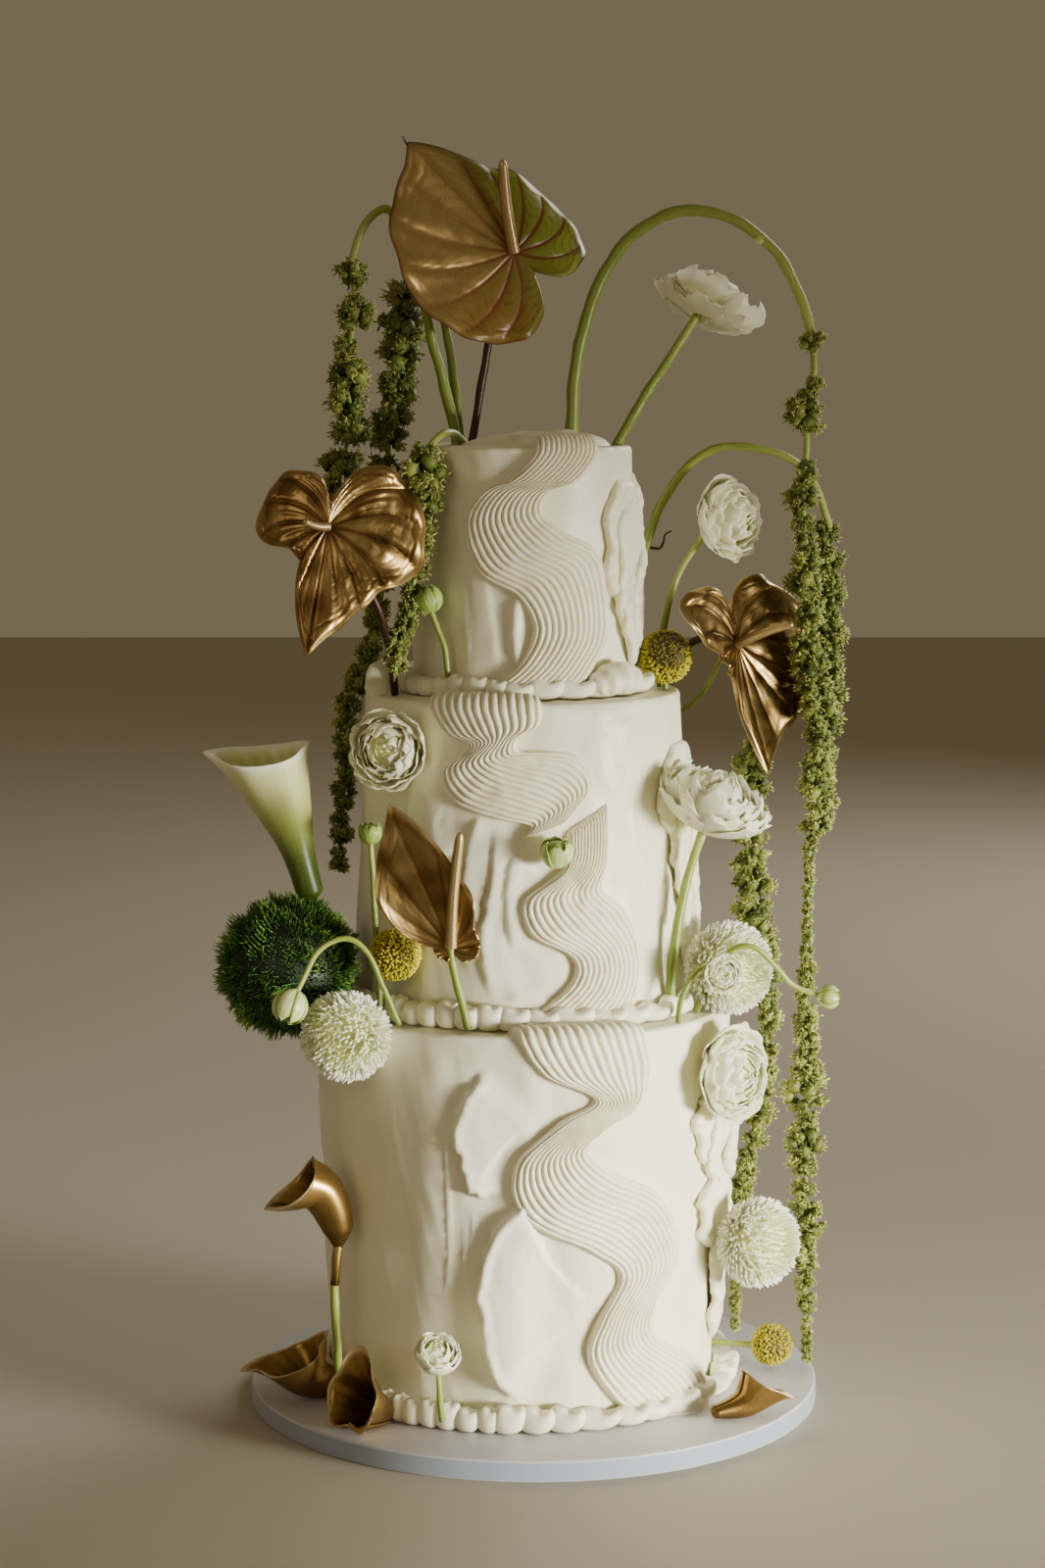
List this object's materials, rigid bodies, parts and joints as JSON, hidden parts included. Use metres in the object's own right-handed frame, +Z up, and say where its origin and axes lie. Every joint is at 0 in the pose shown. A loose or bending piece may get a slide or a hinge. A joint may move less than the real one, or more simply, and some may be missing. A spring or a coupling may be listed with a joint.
{
  "type": "tiered wedding cake",
  "caption": "Tall round tiered cake with combed icing, folded borders and fresh and gilded flowers on a round drum board.",
  "frame": {"origin": "middle of the board's underside", "axes": "+Z up, -Y towards the side that the picture shows, +X to that side's right"},
  "size_m": [0.3929, 0.3556, 0.7779],
  "materials": {
    "board": "smooth white covering with a satin ribbon round the edge",
    "icing": "soft satin buttercream, combed and knife-drawn",
    "mum_petal": "matt petals",
    "white_petal": "thin matt petals",
    "bronze_leaf": "waxy leaf with a bronze and green sheen",
    "gold_leaf": "waxy leaf under a metallic gold coat",
    "cream_spathe": "waxy cream green",
    "button_floret": "dry, packed florets",
    "bud": "satin bud and stem",
    "moss": "fine soft needles",
    "tassel": "granular trailing tassels on smooth stems"
  },
  "bodies": {
    "root": {"board": "board", "tier_bottom": "icing", "tier_middle": "icing", "tier_top": "icing", "wave_top": "icing", "wave_middle_high": "icing", "wave_middle_low": "icing", "wave_bottom": "icing", "border_top": "icing", "border_middle": "icing", "border_bottom": "icing", "petals_top": "icing", "petals_middle": "icing", "petals_bottom": "icing", "mum_left": "mum_petal", "mum_right": "mum_petal", "mum_low": "mum_petal", "heart_crown": "bronze_leaf", "heart_left": "gold_leaf", "heart_right": "gold_leaf", "heart_front": "gold_leaf", "ranunculus_crown": "white_petal", "ranunculus_high": "white_petal", "ranunculus_behind": "white_petal", "ranunculus_left": "white_petal", "ranunculus_right": "white_petal", "ranunculus_rim": "white_petal", "ranunculus_small": "white_petal", "ranunculus_base": "white_petal", "button_ledge": "button_floret", "button_left": "button_floret", "button_base": "button_floret", "bud_ledge": "bud", "bud_left": "bud", "bud_wave": "bud", "bud_nodding": "bud", "bud_right": "bud", "moss_ball": "moss", "calla_white": "cream_spathe", "calla_standing": "gold_leaf", "calla_board_back": "gold_leaf", "calla_board_front": "gold_leaf", "calla_board_right": "gold_leaf", "amaranth_right_arch": "tassel", "amaranth_right_low": "tassel", "amaranth_left_arch": "tassel", "amaranth_left_long": "tassel", "amaranth_left_edge": "tassel"}
  },
  "joints": []
}
